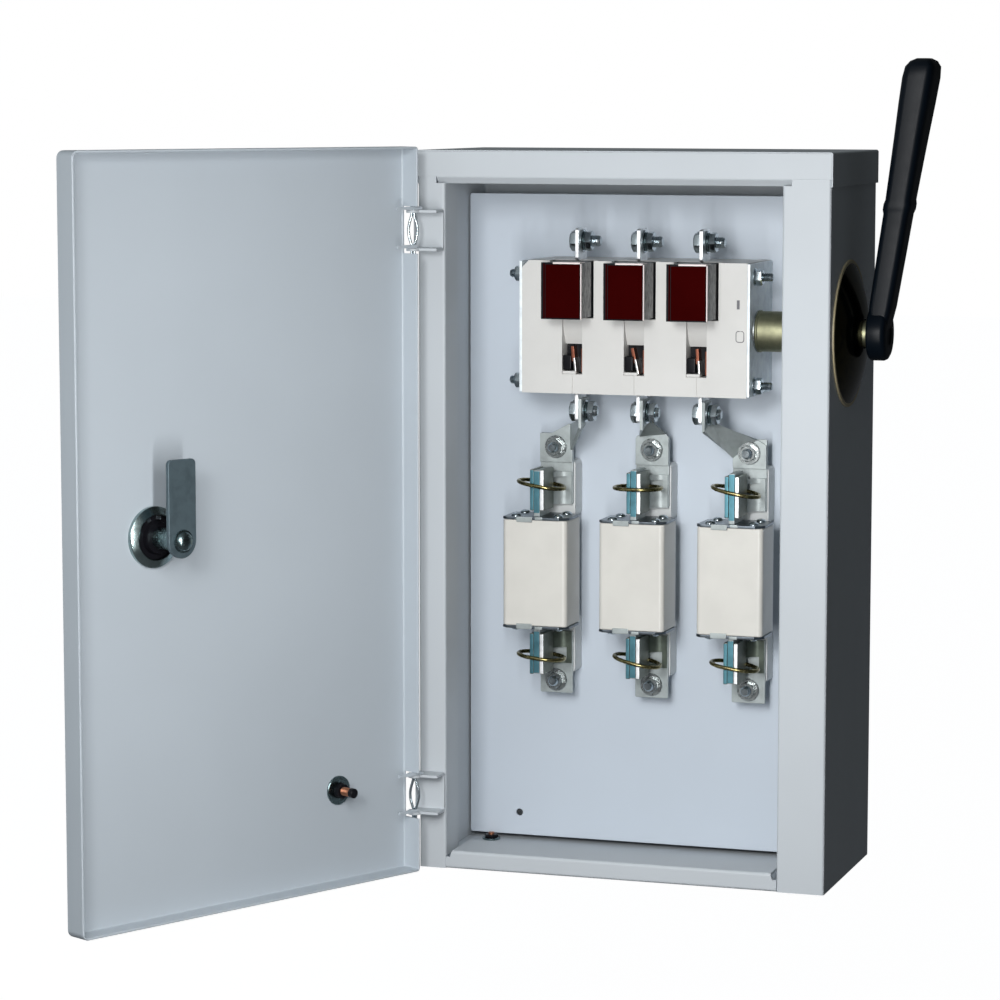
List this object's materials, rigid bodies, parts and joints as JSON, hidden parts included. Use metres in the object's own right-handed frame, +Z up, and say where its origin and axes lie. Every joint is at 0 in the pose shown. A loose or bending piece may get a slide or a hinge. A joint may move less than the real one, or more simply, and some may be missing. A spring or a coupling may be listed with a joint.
{
  "type": "fused switch disconnector box",
  "caption": "Wall-mounted sheet-steel cabinet with a hinged door, a multi-pole switch disconnector turned by a side lever, and knife-blade fuses in clips below it.",
  "frame": {"origin": "centre of the cabinet's flat back face, which lies against the wall", "axes": "+X to the right seen from the front, the front faces -Y, +Z up"},
  "size_m": [0.4908, 0.4216, 0.5614],
  "materials": {
    "box_paint": "light bluish-grey enamel",
    "plate_paint": "light bluish-grey enamel",
    "door_paint": "bluish-grey enamel",
    "zinc_steel": "bright zinc plating",
    "dark_steel": "darkened steel",
    "latch_black": "black moulding",
    "copper": "tarnished copper",
    "white_plastic": "satin white moulding",
    "chute_fibre": "dark maroon moulding",
    "silvered_copper": "silver plating",
    "ceramic": "satin glazed ceramic",
    "yellow_zinc": "yellow passivated zinc",
    "grey_plastic": "light grey moulding",
    "black_plastic": "glossy black moulding"
  },
  "bodies": {
    "cabinet": {"back_wall": "box_paint", "left_wall": "box_paint", "right_wall": "box_paint", "top_cap": "box_paint", "bottom_wall": "box_paint", "frame_left": "box_paint", "frame_right": "box_paint", "frame_top": "box_paint", "frame_bottom": "box_paint", "mounting_plate": "plate_paint", "plate_standoffs": "zinc_steel", "cabinet_hinge_brackets": "box_paint", "hinge_pins": "dark_steel", "cabinet_earth_bolt": "copper", "switch_body": "white_plastic", "arc_chute_left": "chute_fibre", "arc_chute_middle": "chute_fibre", "arc_chute_right": "chute_fibre", "switch_contacts": "copper", "switch_side_plates": "zinc_steel", "tie_rod_ends": "zinc_steel", "upper_terminals": "silvered_copper", "lower_terminals": "silvered_copper", "terminal_bolts": "zinc_steel", "bus_links": "silvered_copper", "fuse_left": "ceramic", "fuse_middle": "ceramic", "fuse_right": "ceramic", "fuse_end_plates": "dark_steel", "fuse_blades": "silvered_copper", "contact_prongs": "silvered_copper", "contact_feet": "silvered_copper", "contact_bolts": "zinc_steel", "spring_rings": "yellow_zinc", "insulating_posts": "grey_plastic", "rosette": "yellow_zinc"},
    "door": {"door_panel": "door_paint", "door_end_rims": "door_paint", "door_side_rims": "door_paint", "door_hinge_brackets": "door_paint", "latch_housing": "latch_black", "door_earth_stud": "copper"},
    "latch": {"latch_cam": "dark_steel", "latch_bolt": "dark_steel"},
    "handle": {"drive_sleeve": "yellow_zinc", "handle": "black_plastic"}
  },
  "joints": [
    {"name": "door_hinge", "type": "hinge", "parent": "cabinet", "child": "door", "pos_m": [-0.143, -0.156, 0], "axis": [0, 0, 1], "range_deg": [-12.5, 117.5]},
    {"name": "latch_turn", "type": "hinge", "parent": "door", "child": "latch", "pos_m": [-0.24597, -0.3538, 0.004], "axis": [0.887, -0.4617, 0], "range_deg": [0, 90]},
    {"name": "handle_turn", "type": "hinge", "parent": "cabinet", "child": "handle", "pos_m": [0.1, -0.083, 0.127], "axis": [1, 0, 0], "range_deg": [0, 90]}
  ]
}
